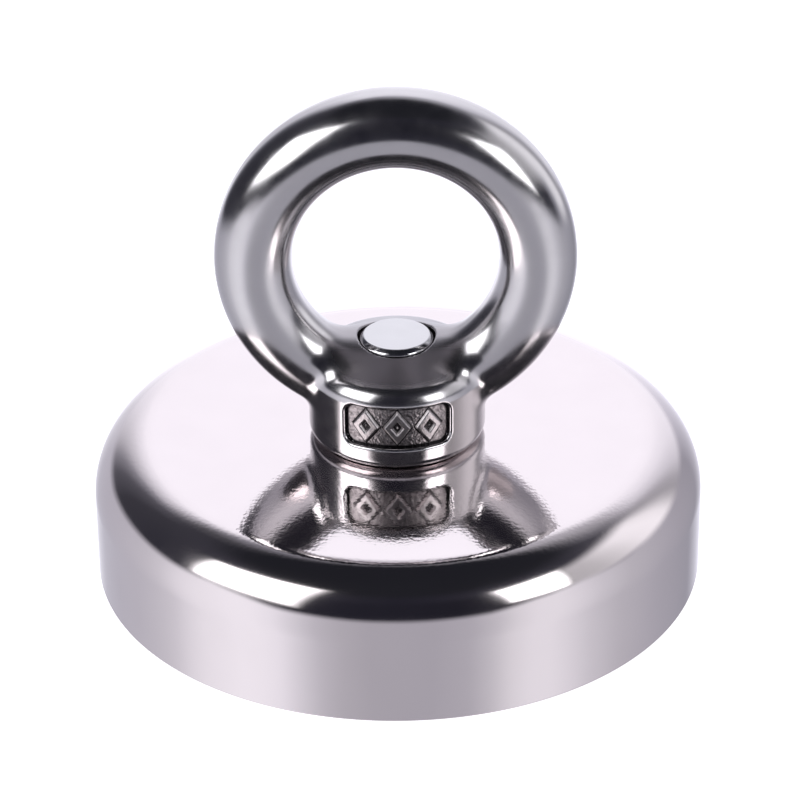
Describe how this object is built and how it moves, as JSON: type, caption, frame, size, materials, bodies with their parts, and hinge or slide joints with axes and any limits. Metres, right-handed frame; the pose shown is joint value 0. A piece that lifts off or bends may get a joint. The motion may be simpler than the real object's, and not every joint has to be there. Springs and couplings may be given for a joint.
{
  "type": "magnet fishing magnet",
  "caption": "Single-sided pot magnet with a rounded steel back and a ring-shaped eye nut, thrown on a rope to pull steel objects out of water.",
  "frame": {"origin": "centre of the pot's contact plane, the face that clings to steel", "axes": "+Z along the pot's axis towards the eye, +X in the plane of the eye's ring, +Y along the ring's opening"},
  "size_m": [0.075, 0.075, 0.0635],
  "materials": {
    "pot_plating": "bright nickel plate on turned steel",
    "magnet_plating": "satin nickel plate on a sintered magnet",
    "adhesive": "cured adhesive",
    "potting_resin": "cured epoxy",
    "bush_plating": "nickel plate on turned steel",
    "bolt_steel": "polished stainless steel",
    "eye_steel": "electropolished cast stainless steel"
  },
  "bodies": {
    "magnet_base": {"steel_pot": "pot_plating", "ring_magnet": "magnet_plating", "adhesive_film": "adhesive", "outer_potting_ring": "potting_resin", "inner_potting_ring": "potting_resin", "centre_bush": "bush_plating"},
    "bolt": {"countersunk_bolt": "bolt_steel"},
    "eye": {"eye_nut": "eye_steel"}
  },
  "joints": [
    {"name": "bolt_turn", "type": "hinge", "parent": "magnet_base", "child": "bolt", "pos_m": [0, 0, 0], "axis": [0, 0, -1], "range_deg": [0, 3240]},
    {"name": "eye_lift", "type": "slide", "parent": "magnet_base", "child": "eye", "axis": [0, 0, 1], "range_m": [0, 0.0135]}
  ],
  "couplings": [
    {"joint": "bolt_turn", "follows": "eye_lift", "rad_per_m": 4188.8}
  ]
}
